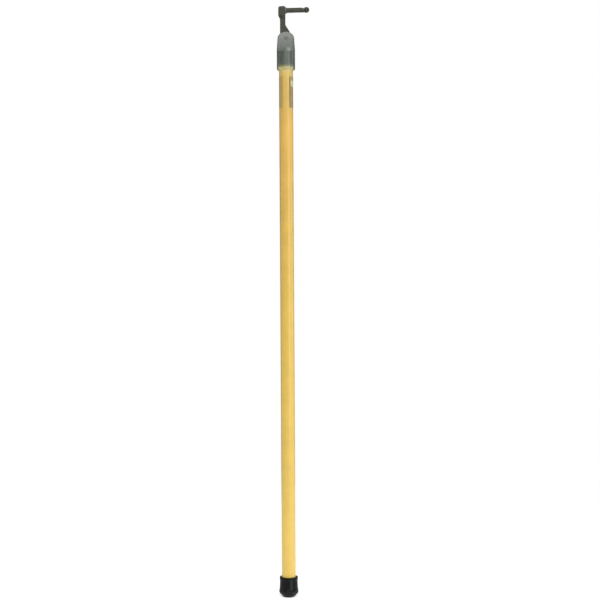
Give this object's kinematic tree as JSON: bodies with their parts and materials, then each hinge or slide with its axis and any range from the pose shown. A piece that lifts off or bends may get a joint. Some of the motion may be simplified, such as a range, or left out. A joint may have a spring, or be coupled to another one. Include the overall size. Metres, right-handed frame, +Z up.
{
  "type": "switch hook stick",
  "caption": "Insulated stick for pulling switch rings: yellow glass-fibre pole, grey-green moulded head, bronze hook with a ball-tipped prong, rubber butt cap.",
  "frame": {"origin": "centre of the butt cap's flat foot, on the pole's axis", "axes": "+Z up the pole towards the hook; +X the way the prong points; -Y and +Y out of the head's two flats"},
  "size_m": [0.0755, 0.0438, 1.3372],
  "materials": {
    "yellow_fibreglass": "pigmented glass-epoxy laminate, satin gloss, faint lengthwise fibre",
    "pale_foam": "closed-cell polyurethane foam",
    "plug_laminate": "machined glass-epoxy rod",
    "printed_film": null,
    "black_rubber": "moulded rubber, satin, scuffed foot",
    "grey_green_moulding": "moulded glass-filled plastic, satin gloss",
    "epoxy": "cured epoxy",
    "dark_bronze": "sand-cast aluminium bronze, dark olive patina, rubbed edges",
    "rivet_metal": "dulled bronze rivet",
    "zinc_steel": "dull zinc-plated spring steel"
  },
  "bodies": {
    "root": {"pole_tube": "yellow_fibreglass", "foam_core": "pale_foam", "top_plug": "plug_laminate", "butt_plug": "plug_laminate", "label_wrap": "printed_film", "butt_cap": "black_rubber", "head_ferrule": "grey_green_moulding", "ferrule_bond": "epoxy", "pole_rivets": "rivet_metal", "tang_rivet": "rivet_metal", "hook_arm": "dark_bronze", "hook_prong": "dark_bronze", "prong_washer": "zinc_steel"}
  },
  "joints": []
}
